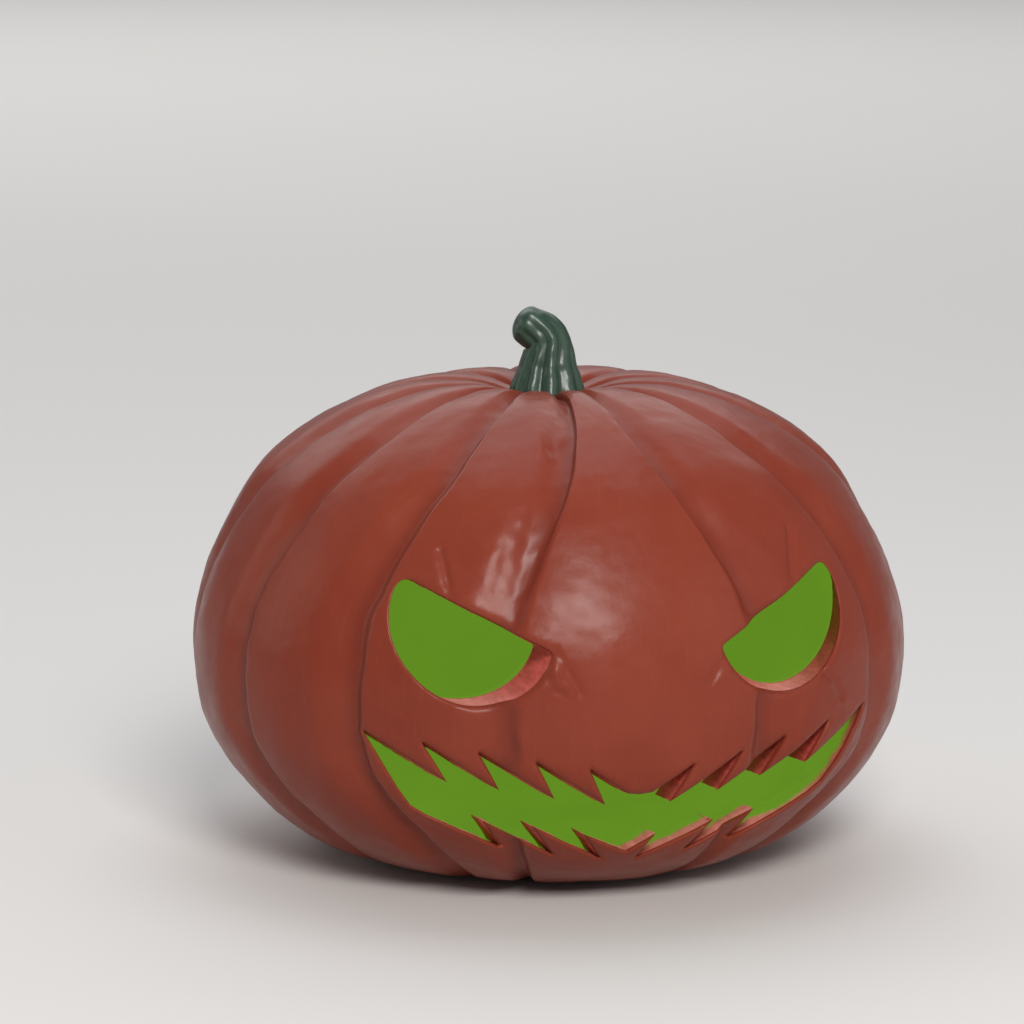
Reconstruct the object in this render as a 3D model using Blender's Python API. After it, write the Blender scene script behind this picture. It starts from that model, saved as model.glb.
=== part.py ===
"""Carved pumpkin lantern: a hollow ribbed pumpkin with a cut face, its green glowing lining and its stem.

The face looks along -Y and is the same on both sides of X = 0. The pumpkin rests on a flat spot at Z = 0.
"""

import math

import bmesh
import bpy
from mathutils import Vector

MM = 0.001

# The body's side, as (radius, height) in mm from the rim of the resting spot up to the stem's seat.
BODY_SIDE = (
    (46.0, 0.0),
    (71.0, 1.3),
    (93.5, 6.2),
    (110.5, 14.8),
    (125.0, 27.5),
    (137.5, 43.3),
    (146.7, 62.3),
    (150.0, 86.0),
    (147.5, 108.0),
    (138.0, 134.5),
    (118.5, 166.0),
    (89.0, 187.0),
    (58.0, 197.5),
    (33.0, 198.5),
    (18.0, 194.5),
)
BODY_ROWS = 24

# The cavity's side in the same way, from the rim of its floor up to the rim of its ceiling.
CAVITY_SIDE = (
    (50.0, 8.0),
    (72.0, 9.5),
    (88.0, 14.0),
    (101.0, 23.0),
    (112.0, 37.5),
    (121.5, 57.0),
    (127.0, 76.0),
    (128.0, 92.0),
    (125.0, 110.0),
    (116.5, 131.0),
    (101.0, 152.0),
    (79.0, 167.0),
    (52.0, 174.5),
)
CAVITY_ROWS = 11
CAVITY_COLUMNS = 40
LINING_GAP = 0.3 * MM
LINING_THICKNESS = 3.0 * MM

# Creases between the ribs, as azimuths in degrees: 0 is the middle of the face, positive is towards +X.
CREASES = (-173.0, -147.0, -121.0, -95.0, -70.0, -45.0, -20.0, 20.0, 48.0, 77.0, 105.0, 131.0, 159.0)
CREASE_DEPTH = 3.2 * MM
# Going away from the face, a crease drops from the rib's edge to its floor, then rises again, in degrees.
CREASE_LIP = 1.6  # before the crease
CREASE_FLOOR = 0.5  # past the crease
CREASE_MIDDLE = 4.0
CREASE_END = 9.0
CREASE_FADE = 0.10  # share of the side, at each end, along which a crease fades out
COLUMN_STEP = 7.5  # degrees, the widest column of the body
LEAN_TOP = 16.0  # degrees that the creases lean towards the face at the top
LEAN_FOOT = 12.0  # degrees that they lean towards it at the foot

# The face is cut by straight strokes. The eyes' spread from a point before it, the mouth's run side by side.
EYES_CUT_FROM = Vector((0.0, -450.0, 105.0)) * MM
MOUTH_STROKE = Vector((0.0, 1.0, -0.1))
CUT_START = -170.0 * MM
CUT_END = -80.0 * MM  # where a stroke ends at X = 0; away from it the end slants back
CUT_END_SLANT = 0.4
CUT_OVERLAP = 1.0  # mm that each half of the mouth reaches past X = 0

# Eye: a round disc below a slanted brow. Places on the face are (distance from X = 0, height) in mm.
EYE_CENTRE = (62.0, 118.5)
EYE_RADIUS = 29.5
BROW_SLOPE = math.radians(27.3)
BROW_OFFSET = 5.3
EYE_STEPS = 20

# Mouth: leaning saw teeth above, three a side below, meeting in a point at each cheek.
MOUTH_CORNER = (103.3, 75.9)
UPPER_TEETH = 4
UPPER_NOTCH = (21.0, 63.9)
UPPER_NOTCH_STEP = (20.7, 3.2)
UPPER_TIP = (13.2, 48.2)
UPPER_TIP_STEP = (20.1, 3.1)
UPPER_MIDDLE_HEIGHTS = (52.3, 53.0)
UPPER_MIDDLE_HALF = 5.0
LOWER_MIDDLE_HEIGHT = 24.6
LOWER_BOTTOMS = ((10.1, 22.8), (30.0, 25.6), (51.5, 28.7))
LOWER_TIPS = ((21.7, 36.1), (41.8, 39.6), (60.0, 42.0))
LOWER_CHEEK = ((71.0, 38.1), (79.0, 42.3), (84.8, 46.0), (90.5, 54.5))

# Stem: a fluted stalk that bends over. Its middle line is (sideways, up, radius) in mm from its seat.
STEM_SEAT = 194.8 * MM
STEM_LINE = (
    (0.0, 0.0, 15.0),
    (0.3, 7.0, 12.7),
    (0.4, 12.8, 10.7),
    (-0.6, 18.0, 9.5),
    (-4.2, 23.2, 8.3),
    (-8.6, 27.6, 6.9),
    (-10.9, 29.8, 5.6),
)
STEM_TURN = math.radians(-14.5)  # from +X to the line's sideways direction
STEM_FLUTES = 11
STEM_FLUTE_DEPTH = 0.085  # share of the radius
STEM_ROWS = 10
STEM_COLUMNS_PER_FLUTE = 4
STEM_CAP_LENGTH = 3.0 * MM
STEM_CAP_RINGS = 2


def smooth(share):
    """A ramp from 0 to 1 that starts and ends level."""
    share = min(max(share, 0.0), 1.0)
    return share * share * (3.0 - 2.0 * share)


def through(points, places):
    """A Catmull-Rom curve through the points, read at places from 0 to 1 along its length."""
    knots = [Vector(p) for p in points]
    ends = [2 * knots[0] - knots[1]] + knots + [2 * knots[-1] - knots[-2]]
    fine = []
    steps = 16
    for a, b, c, d in zip(ends, ends[1:], ends[2:], ends[3:]):
        for step in range(steps):
            t = step / steps
            even = 2 * b + (2 * a - 5 * b + 4 * c - d) * t * t
            odd = (c - a) * t + (3 * b - a - 3 * c + d) * t * t * t
            fine.append((even + odd) / 2)
    fine.append(knots[-1])
    reached = [0.0]
    for a, b in zip(fine, fine[1:]):
        reached.append(reached[-1] + (b - a).length)
    found = []
    for place in places:
        goal = place * reached[-1]
        i = 0
        while i < len(fine) - 2 and reached[i + 1] < goal:
            i += 1
        share = (goal - reached[i]) / (reached[i + 1] - reached[i])
        found.append(fine[i].lerp(fine[i + 1], share))
    return found


def even_places(count):
    return [i / (count - 1) for i in range(count)]


def side_with_normals(side, count):
    """A side in metres, as (point, outward normal) pairs at even places."""
    step = 0.002
    places = even_places(count)
    middles = through(side, places)
    befores = through(side, [max(p - step, 0.0) for p in places])
    afters = through(side, [min(p + step, 1.0) for p in places])
    pairs = []
    for middle, before, after in zip(middles, befores, afters):
        along = (after - before).normalized()
        pairs.append((middle * MM, Vector((along.y, -along.x))))
    return pairs


def body_radius(height):
    """The plain body's radius at a height, both in metres."""
    side = through(BODY_SIDE, even_places(200))
    for low, high in zip(side, side[1:]):
        if low.y * MM <= height <= high.y * MM:
            share = (height / MM - low.y) / (high.y - low.y)
            return low.lerp(high, share).x * MM
    raise ValueError("height outside the body's side")


def column_azimuths():
    """Azimuths of the body's columns: four at each crease, and even steps across each rib."""
    marks = []
    for crease in CREASES:
        away = math.copysign(1.0, crease)
        for past in (-CREASE_LIP, CREASE_FLOOR, CREASE_MIDDLE, CREASE_END):
            marks.append(crease + away * past)
    marks.sort()
    columns = []
    for mark, following in zip(marks, marks[1:] + [marks[0] + 360.0]):
        steps = math.ceil((following - mark) / COLUMN_STEP)
        columns += [mark + (following - mark) * i / steps for i in range(steps)]
    return columns


def crease_share(azimuth):
    """How much of the crease depth the body loses at this azimuth, from 0 to 1."""
    most = 0.0
    for crease in CREASES:
        away = math.copysign(1.0, crease)
        past = ((azimuth - crease + 180.0) % 360.0 - 180.0) * away
        drop = smooth((past + CREASE_LIP) / (CREASE_LIP + CREASE_FLOOR))
        rise = 1.0 - smooth((past - CREASE_FLOOR) / (CREASE_END - CREASE_FLOOR))
        most = max(most, drop * rise)
    return most


def leaned(azimuth, height):
    """The azimuth after the creases' lean towards the face at this height in metres."""
    azimuth = (azimuth + 180.0) % 360.0 - 180.0
    off_middle = abs(azimuth)
    fade = 1.0 - smooth((off_middle - 90.0) / 90.0)
    top = LEAN_TOP * smooth((height - 0.110) / 0.110) * min(off_middle / 20.0, 1.0)
    foot = LEAN_FOOT * smooth((0.070 - height) / 0.070) * smooth((off_middle - 15.0) / 30.0)
    return math.radians(azimuth - math.copysign((top + foot) * fade, azimuth))


def ring_mesh(name, rings, close_with_points=True):
    """A closed mesh through rings of points, from the lowest ring to the highest, each turning left."""
    bm = bmesh.new()
    loops = [[bm.verts.new(point) for point in ring] for ring in rings]
    count = len(loops[0])
    for low, high in zip(loops, loops[1:]):
        for i in range(count):
            j = (i + 1) % count
            bm.faces.new((low[i], low[j], high[j], high[i]))
    for loop, flip in ((loops[0], True), (loops[-1], False)):
        if close_with_points:
            centre = bm.verts.new(sum((v.co for v in loop), Vector()) / count)
            for i in range(count):
                j = (i + 1) % count
                bm.faces.new((loop[j], loop[i], centre) if flip else (loop[i], loop[j], centre))
        else:
            bm.faces.new(reversed(loop) if flip else loop)
    mesh = bpy.data.meshes.new(name)
    bm.to_mesh(mesh)
    bm.free()
    return mesh


def turned(radius, height, azimuth):
    """A point at an azimuth in radians, where 0 is the face's middle."""
    return Vector((radius * math.sin(azimuth), -radius * math.cos(azimuth), height))


def body_mesh():
    columns = column_azimuths()
    rings = []
    for row, (point, normal) in enumerate(side_with_normals(BODY_SIDE, BODY_ROWS)):
        place = row / (BODY_ROWS - 1)
        fade = smooth(place / CREASE_FADE) * smooth((1.0 - place) / CREASE_FADE)
        ring = []
        for azimuth in columns:
            sunk = point - normal * (CREASE_DEPTH * fade * crease_share(azimuth))
            ring.append(turned(sunk.x, sunk.y, leaned(azimuth, point.y)))
        rings.append(ring)
    return ring_mesh("pumpkin_shell", rings)


def inner_mesh(name, depth):
    """The cavity's form drawn in by a depth, with a flat floor and a flat ceiling."""
    azimuths = [2 * math.pi * i / CAVITY_COLUMNS for i in range(CAVITY_COLUMNS)]
    rings = []
    for point, normal in side_with_normals(CAVITY_SIDE, CAVITY_ROWS):
        inset = point - normal * depth
        rings.append([turned(inset.x, inset.y, azimuth) for azimuth in azimuths])
    return ring_mesh(name, rings)


def on_body(across, height):
    """The place (across, height) in mm on the face, as a point on the plain body."""
    radius = body_radius(height * MM)
    return Vector((across * MM, -math.sqrt(radius**2 - (across * MM) ** 2), height * MM))


def eye_stroke(place):
    """The direction of the stroke that cuts through a place on the edge of an eye."""
    return place - EYES_CUT_FROM


def mouth_stroke(place):
    """The same for the mouth, where every stroke has one direction."""
    return MOUTH_STROKE


def cutter_mesh(name, outline, stroke_at, side):
    """The solid swept by strokes through an outline that turns left as seen from the front.

    The side is 1 for an outline at +X and -1 for one at -X.
    """
    rings = []
    for end, slant in ((CUT_END, CUT_END_SLANT * side), (CUT_START, 0.0)):
        ring = []
        for across, height in outline:
            place = on_body(across, height)
            stroke = stroke_at(place)
            reach = (end + slant * place.x - place.y) / (stroke.y - slant * stroke.x)
            ring.append(place + stroke * reach)
        rings.append(ring)
    return ring_mesh(name, rings, close_with_points=False)


def mirrored(outline):
    return [(-across, height) for across, height in reversed(outline)]


def eye_outline():
    """Round from the brow's end at the nose, below the eye, to its outer end."""
    half = math.acos(BROW_OFFSET / EYE_RADIUS)
    start = BROW_SLOPE + math.pi / 2 + half
    turn = 2 * math.pi - 2 * half
    points = []
    for step in range(EYE_STEPS + 1):
        angle = start + turn * step / EYE_STEPS
        across = EYE_CENTRE[0] + EYE_RADIUS * math.cos(angle)
        points.append((across, EYE_CENTRE[1] + EYE_RADIUS * math.sin(angle)))
    return points


def mouth_outline():
    """The +X half: from the middle of the lower lip out to the cheek, and back along the upper lip."""
    points = [(-CUT_OVERLAP, LOWER_MIDDLE_HEIGHT)]
    for bottom, tip in zip(LOWER_BOTTOMS, LOWER_TIPS):
        points += [tip, bottom]
    points += LOWER_CHEEK
    points.append(MOUTH_CORNER)
    for tooth in reversed(range(UPPER_TEETH)):
        points.append(tuple(a + tooth * b for a, b in zip(UPPER_TIP, UPPER_TIP_STEP)))
        points.append(tuple(a + tooth * b for a, b in zip(UPPER_NOTCH, UPPER_NOTCH_STEP)))
    low, high = UPPER_MIDDLE_HEIGHTS
    points += [(UPPER_MIDDLE_HALF, high), (-CUT_OVERLAP, low)]
    return points


def stem_mesh():
    """The stem with its seat at the origin."""
    side = Vector((math.cos(STEM_TURN), math.sin(STEM_TURN), 0.0))
    up = Vector((0.0, 0.0, 1.0))
    across = up.cross(side)
    line = through(STEM_LINE, even_places(STEM_ROWS))
    stations = []
    for i, (sideways, height, radius) in enumerate(line):
        step = line[min(i + 1, STEM_ROWS - 1)] - line[max(i - 1, 0)]
        along = (side * step.x + up * step.y).normalized() if i else up
        stations.append(((side * sideways + up * height) * MM, along, radius * MM))
    centre, along, radius = stations[-1]
    for ring in range(1, STEM_CAP_RINGS + 1):
        bend = math.pi / 2 * ring / (STEM_CAP_RINGS + 1)
        stations.append((centre + along * (STEM_CAP_LENGTH * math.sin(bend)), along, radius * math.cos(bend)))
    columns = STEM_FLUTES * STEM_COLUMNS_PER_FLUTE
    rings = []
    for centre, along, radius in stations:
        inward = across.cross(along)
        ring = []
        for column in range(columns):
            turn = 2 * math.pi * column / columns
            reach = radius * (1.0 + STEM_FLUTE_DEPTH * math.cos(STEM_FLUTES * turn))
            ring.append(centre + (inward * math.cos(turn) + across * math.sin(turn)) * reach)
        rings.append(ring)
    return ring_mesh("stem", rings)


def make_object(mesh, location=(0.0, 0.0, 0.0)):
    made = bpy.data.objects.new(mesh.name, mesh)
    made.location = location
    bpy.context.scene.collection.objects.link(made)
    return made


def make_cutter(mesh):
    cutter = make_object(mesh)
    cutter.hide_render = True
    cutter.display_type = "WIRE"
    return cutter


def cut(target, cutter):
    boolean = target.modifiers.new(f"cut_{cutter.name}", "BOOLEAN")
    boolean.operation = "DIFFERENCE"
    boolean.solver = "EXACT"
    boolean.object = cutter


def finish(target, name, colour, roughness, glow=0.0):
    """Gives the object its material and smooth shading, with its sharp edges kept."""
    material = bpy.data.materials.new(name)
    material.use_nodes = True
    surface = material.node_tree.nodes["Principled BSDF"]
    surface.inputs["Base Color"].default_value = (*colour, 1.0)
    surface.inputs["Roughness"].default_value = roughness
    surface.inputs["Emission Color"].default_value = (*colour, 1.0)
    surface.inputs["Emission Strength"].default_value = glow
    target.data.materials.append(material)
    target.data.shade_smooth()
    target.data.set_sharp_from_angle(angle=math.radians(40.0))


def main():
    for old in list(bpy.data.objects):
        bpy.data.objects.remove(old, do_unlink=True)

    cutters = []
    features = (("eye", eye_outline(), eye_stroke), ("mouth", mouth_outline(), mouth_stroke))
    for name, outline, stroke_at in features:
        right = cutter_mesh(f"{name}_right_cutter", outline, stroke_at, 1)
        left = cutter_mesh(f"{name}_left_cutter", mirrored(outline), stroke_at, -1)
        cutters += [make_cutter(right), make_cutter(left)]

    shell = make_object(body_mesh())
    cut(shell, make_cutter(inner_mesh("cavity_cutter", 0.0)))
    finish(shell, "rind", (0.305, 0.058, 0.032), 0.38)

    lining = make_object(inner_mesh("green_lining", LINING_GAP))
    cut(lining, make_cutter(inner_mesh("hollow_cutter", LINING_GAP + LINING_THICKNESS)))
    finish(lining, "green_glow", (0.117, 0.254, 0.016), 0.6, glow=1.0)

    for cutter in cutters:
        cut(shell, cutter)
        cut(lining, cutter)

    stem = make_object(stem_mesh(), (0.0, 0.0, STEM_SEAT))
    finish(stem, "stem", (0.032, 0.066, 0.046), 0.35)


main()
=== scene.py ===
"""Looks of a carved pumpkin lantern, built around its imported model.

The rind is one closed piece: ribbed skin, softly worn lips, knife-cut walls of flesh and the cavity's wall.
The green lining glows behind it, and the fluted stem stands in its seat. The face looks along -Y.
"""

import math

import bpy
import numpy as np
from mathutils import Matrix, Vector
from mathutils.geometry import delaunay_2d_cdt


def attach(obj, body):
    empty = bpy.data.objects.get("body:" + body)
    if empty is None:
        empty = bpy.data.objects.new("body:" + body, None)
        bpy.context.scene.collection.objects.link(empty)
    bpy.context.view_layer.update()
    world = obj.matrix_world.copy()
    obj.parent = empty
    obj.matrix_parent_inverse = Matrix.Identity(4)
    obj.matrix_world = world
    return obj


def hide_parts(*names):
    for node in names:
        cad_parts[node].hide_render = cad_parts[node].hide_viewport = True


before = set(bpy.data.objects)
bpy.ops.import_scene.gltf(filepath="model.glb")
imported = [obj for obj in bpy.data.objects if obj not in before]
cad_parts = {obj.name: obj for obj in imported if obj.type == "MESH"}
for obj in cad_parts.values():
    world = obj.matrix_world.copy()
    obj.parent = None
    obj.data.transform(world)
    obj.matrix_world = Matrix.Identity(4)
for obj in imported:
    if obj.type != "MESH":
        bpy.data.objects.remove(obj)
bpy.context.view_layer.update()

MM = 0.001

# The body's side, as (radius, height) in mm from the blossom end, round the belly and into the stem's seat.
BODY_SIDE = (
    (0.6, 2.9),
    (14.0, 2.5),
    (30.0, 1.2),
    (46.0, 0.0),
    (71.0, 1.3),
    (93.5, 6.2),
    (110.5, 14.8),
    (125.0, 27.5),
    (137.5, 43.3),
    (146.7, 62.3),
    (150.0, 86.0),
    (147.5, 108.0),
    (138.0, 134.5),
    (118.5, 166.0),
    (89.0, 187.0),
    (58.0, 197.5),
    (33.0, 198.5),
    (18.0, 194.5),
    (8.0, 192.6),
    (0.6, 192.2),
)
BODY_ROW_STEP = 1.9

# The cavity's side in the same way, from the middle of its floor to the middle of its ceiling.
CAVITY_SIDE = (
    (0.6, 8.0),
    (25.0, 8.0),
    (50.0, 8.0),
    (72.0, 9.5),
    (88.0, 14.0),
    (101.0, 23.0),
    (112.0, 37.5),
    (121.5, 57.0),
    (127.0, 76.0),
    (128.0, 92.0),
    (125.0, 110.0),
    (116.5, 131.0),
    (101.0, 152.0),
    (79.0, 167.0),
    (52.0, 174.5),
    (26.0, 174.6),
    (0.6, 174.6),
)
CAVITY_ROW_STEP = 4.0
CAVITY_COLUMNS = 120
LINING_GAP = 0.3
LINING_THICKNESS = 3.0

# Creases between the ribs, as azimuths in degrees: 0 is the middle of the face, positive is towards +X.
CREASES = (-173.0, -147.0, -121.0, -95.0, -70.0, -45.0, -20.0, 20.0, 48.0, 77.0, 105.0, 131.0, 159.0)
CREASE_DEPTH = 3.2
CREASE_LIP = 1.9  # degrees before the crease where the rib's edge rolls over
CREASE_FLOOR = 0.5  # degrees past it where the floor is reached
CREASE_END = 9.0  # degrees past it where the next rib is level again
RIB_ROUNDING = 0.7  # mm that a rib's flanks lie below its middle
LEAN_TOP = 16.0
LEAN_FOOT = 12.0

# The face is cut by straight strokes. The eyes' spread from a point before it, the mouth's run side by side.
EYES_CUT_FROM = np.array((0.0, -450.0, 105.0))
MOUTH_STROKE = np.array((0.0, 1.0, -0.1))
MOUTH_TOP = 82.0  # height in mm that parts the mouth's skin from the eyes'
LIP = 1.9  # mm, radius of the worn edge of a cut
SKIN_INSET = 0.34  # mm that the uneven skin lies inside the plain body, so that it stays within it
GLOW_FROM = 0.40  # share of the way in where the lower teeth start to turn green
CHEEK_GLOW_FROM = 0.04  # the same at the cheek
GLOW_BLEND = 0.24
GLOW_UPWARD = 0.68  # between the teeth only walls that face up at least this much turn green
GLOW_UPWARD_BLEND = 0.12
CHEEK_FROM = 62.0  # mm from the middle, where the lower teeth end and the cheek begins
CHEEK_BLEND = (58.0, 68.0)  # mm from the middle, where the green's start moves to the cheek's
TOP_LIGHT_POWER = 5  # how sharply the painted top light on the flesh keeps to the level parts of a wall above the lower lip
RINGS = (0.12, 0.32, 0.62, 1.0, 1.5)  # shares of the lip's radius where the skin's mesh runs along a cut
CUT_STEP = 0.9  # mm between points along a cut

EYE_CENTRE = (62.0, 118.5)
EYE_RADIUS = 29.5
BROW_SLOPE = math.radians(27.3)
BROW_OFFSET = 5.3
EYE_STEPS = 60
EYE_INNER_ROUND = 2.2  # mm, worn corner at the nose
EYE_OUTER_ROUND = 4.6  # mm, worn corner at the temple

MOUTH_SHIFT = 1.1  # mm, how far the mouth sits off the middle
MOUTH_CORNER = (103.2, 76.1)
UPPER_TEETH = 4
UPPER_NOTCH = (21.0, 63.9)
UPPER_NOTCH_STEP = (20.7, 3.2)
UPPER_TIP = (13.2, 48.2)
UPPER_TIP_STEP = (20.1, 3.1)
UPPER_MIDDLE = ((0.0, 52.4), (5.0, 53.0))
LOWER_MIDDLE = (0.0, 25.1)
# Each side's lower teeth, cut by hand and so a little uneven: tip and bottom, from the middle outwards.
LOWER_TEETH_RIGHT = ((10.1, 32.8), (5.1, 21.6), (34.7, 37.0), (25.1, 23.8), (53.3, 38.9), (46.0, 26.2))
LOWER_TEETH_LEFT = ((19.2, 34.5), (10.2, 22.2), (40.0, 38.8), (29.6, 24.9), (57.8, 40.2), (50.1, 28.3))
LOWER_CHEEK = ((71.0, 38.2), (79.0, 42.0), (84.8, 45.7), (90.3, 53.4), (96.0, 63.2))
# The lower lip lies below this line of (distance from the middle, height).
LOWER_LIP_LINE = ((0.0, 42.0), (73.5, 50.0), (90.5, 61.0), (103.3, 75.9))

# Stem: (sideways, up, radius) in mm from its seat.
STEM_SEAT = 194.8
STEM_LINE = (
    (0.0, -2.5, 15.3),
    (0.0, 0.0, 14.9),
    (0.2, 9.3, 11.7),
    (0.3, 16.0, 9.8),
    (-0.2, 19.5, 9.2),
    (-2.1, 22.9, 8.6),
    (-6.0, 25.3, 8.2),
    (-8.6, 26.8, 7.8),
)
STEM_TURN = math.radians(-14.5)
STEM_FLUTES = 11
STEM_DOME = 5.4  # mm, length of its rounded end


def smooth(share):
    """A ramp from 0 to 1 that starts and ends level."""
    share = np.clip(share, 0.0, 1.0)
    return share * share * (3.0 - 2.0 * share)


def unit(vectors):
    return vectors / np.linalg.norm(vectors, axis=-1, keepdims=True)


def through(points, step):
    """A Catmull-Rom curve through the points, as points a step apart."""
    knots = np.array(points, float)
    ends = np.vstack([2 * knots[0] - knots[1], knots, 2 * knots[-1] - knots[-2]])
    t = np.linspace(0.0, 1.0, 40, endpoint=False)[:, None]
    pieces = []
    for a, b, c, d in zip(ends, ends[1:], ends[2:], ends[3:]):
        even = 2 * b + (2 * a - 5 * b + 4 * c - d) * t**2
        odd = (c - a) * t + (3 * b - a - 3 * c + d) * t**3
        pieces.append((even + odd) / 2)
    line = np.vstack(pieces + [knots[-1:]])
    reached = np.concatenate([[0.0], np.cumsum(np.linalg.norm(np.diff(line, axis=0), axis=1))])
    places = np.linspace(0.0, reached[-1], max(2, round(reached[-1] / step) + 1))
    return np.stack([np.interp(places, reached, axis) for axis in line.T], axis=1), places


def eased(line, reach):
    """The line with its small corners averaged out over a reach, counted in points."""
    span = np.arange(-3 * reach, 3 * reach + 1)
    weights = np.exp(-0.5 * (span / reach) ** 2)
    weights /= weights.sum()
    before = 2 * line[0] - line[3 * reach : 0 : -1]
    after = 2 * line[-1] - line[-2 : -3 * reach - 2 : -1]
    padded = np.vstack([before, line, after])
    return np.stack([np.convolve(axis, weights, "valid") for axis in padded.T], axis=1)


class Side:
    """The outline of a turned form: radius, height and outward normal by distance along it, in mm."""

    def __init__(self, points, inset=0.0):
        line, self.along = through(points, 0.25)
        line = eased(line, 12)
        step = unit(np.gradient(line, axis=0))
        self.normal = np.stack([step[:, 1], -step[:, 0]], axis=1)
        line = line - self.normal * inset
        self.radius = line[:, 0]
        self.height = np.maximum(line[:, 1], 0.0)
        self.length = self.along[-1]
        wall = self.normal[:, 0] > 0.12
        self.wall = slice(int(np.argmax(wall)), len(wall) - int(np.argmax(wall[::-1])))

    def read(self, along):
        """Radius, height and normal at distances along the side."""
        values = (self.radius, self.height, self.normal[:, 0], self.normal[:, 1])
        return [np.interp(along, self.along, value) for value in values]

    def places(self, azimuth, along):
        """Points and outward normals at azimuths in radians."""
        radius, height, out, up = self.read(along)
        sine, cosine = np.sin(azimuth), np.cos(azimuth)
        points = np.stack([radius * sine, -radius * cosine, height], axis=-1)
        return points, np.stack([out * sine, -out * cosine, up], axis=-1)

    def along_at(self, height):
        """The distance along the side's wall at a height."""
        return np.interp(height, self.height[self.wall], self.along[self.wall])

    def radius_at(self, height):
        return np.interp(height, self.height[self.wall], self.radius[self.wall])

    def met_by(self, starts, strokes):
        """Where strokes from outside first meet the wall, or come nearest to it, and which do meet it."""
        steps = np.arange(0.0, 110.0, 0.5)
        reached = starts[:, None, :] + strokes[:, None, :] * steps[None, :, None]
        over = np.hypot(reached[..., 0], reached[..., 1]) - self.radius_at(reached[..., 2])
        first = np.argmax(over < 0.0, axis=1)
        first = np.where((over < 0.0).any(axis=1), first, np.argmin(over, axis=1))
        each = np.arange(len(starts))
        before, after = over[each, first - 1], over[each, first]
        share = np.clip(before / np.where(before > after, before - after, 1.0), 0.0, 1.0)
        met = starts + strokes * (steps[first] - 0.5 * (1.0 - share))[:, None]
        azimuth = np.arctan2(met[:, 0], -met[:, 1])
        return self.places(azimuth, self.along_at(met[:, 2]))[0], (over < 0.0).any(axis=1)


BODY = Side(BODY_SIDE)


def leaned(column, height):
    """A column's azimuth in degrees after the lean towards the face at a height in mm."""
    column = (column + 180.0) % 360.0 - 180.0
    off_middle = np.abs(column)
    fade = 1.0 - smooth((off_middle - 90.0) / 90.0)
    top = LEAN_TOP * smooth((height - 110.0) / 110.0) * np.minimum(off_middle / 20.0, 1.0)
    foot = LEAN_FOOT * smooth((70.0 - height) / 70.0) * smooth((off_middle - 15.0) / 30.0)
    return column - np.sign(column) * (top + foot) * fade


def column_of(azimuth, height):
    """The column that leans to an azimuth in degrees at a height in mm."""
    column = np.array(azimuth, float)
    for _ in range(60):
        column = column + 0.9 * (azimuth - leaned(column, height))
    return column


def past_creases(column):
    """For each crease, how far columns lie past it, going away from the face, in degrees."""
    for crease in CREASES:
        yield crease, ((column - crease + 180.0) % 360.0 - 180.0) * math.copysign(1.0, crease)


def body_columns():
    """Columns of the skin in degrees, close together at the creases."""
    fine = np.arange(-180.0, 180.0, 0.05)
    step = np.full(len(fine), 1.35)
    for _, past in past_creases(fine):
        step = np.where((past > -1.0) & (past < 10.0), np.minimum(step, 0.9), step)
        step = np.where((past > -2.4) & (past < 1.2), 0.36, step)
    count = np.concatenate([[0.0], np.cumsum(0.05 / step)])
    total = round(count[-1])
    return np.interp(np.arange(total) / total * count[-1], count, np.append(fine, 180.0))


def wander(points, scale, seed, waves=24):
    """Smooth noise from about -1 to 1 at points in mm."""
    dice = np.random.default_rng(seed)
    found = np.zeros(len(points))
    for _ in range(waves):
        heading = unit(dice.normal(size=3)) * dice.uniform(0.6, 1.6) * 2 * math.pi / scale
        found += np.sin(points @ heading + dice.uniform(0, 2 * math.pi))
    return found / math.sqrt(waves / 2) / 1.6


def crease_depth(column, along, points):
    """How far the skin lies below the plain body, in mm, and how much of that is a crease's floor, which gets
    painted shade.
    """
    depth = np.zeros(len(column))
    floor = np.zeros(len(column))
    wobble = 0.35 * wander(points, 60.0, 11) + 0.15 * wander(points, 18.0, 12)
    ends = smooth((along - 48.0) / 60.0) * smooth((BODY.length - 10.0 - along) / 14.0)
    for crease, past in past_creases(column):
        past = past + wobble
        drop = smooth((past + CREASE_LIP) / (CREASE_LIP + CREASE_FLOOR))
        rise = 1.0 - smooth((past - CREASE_FLOOR) / (CREASE_END - CREASE_FLOOR))
        flank = np.exp(-(((past - 2.0) / 6.5) ** 2))
        share = drop * rise
        depth = np.maximum(depth, CREASE_DEPTH * share * ends + RIB_ROUNDING * flank * ends)
        floor = np.maximum(floor, drop * (1.0 - smooth((past - 0.6) / 3.0)) * ends)
    return depth, floor


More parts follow.
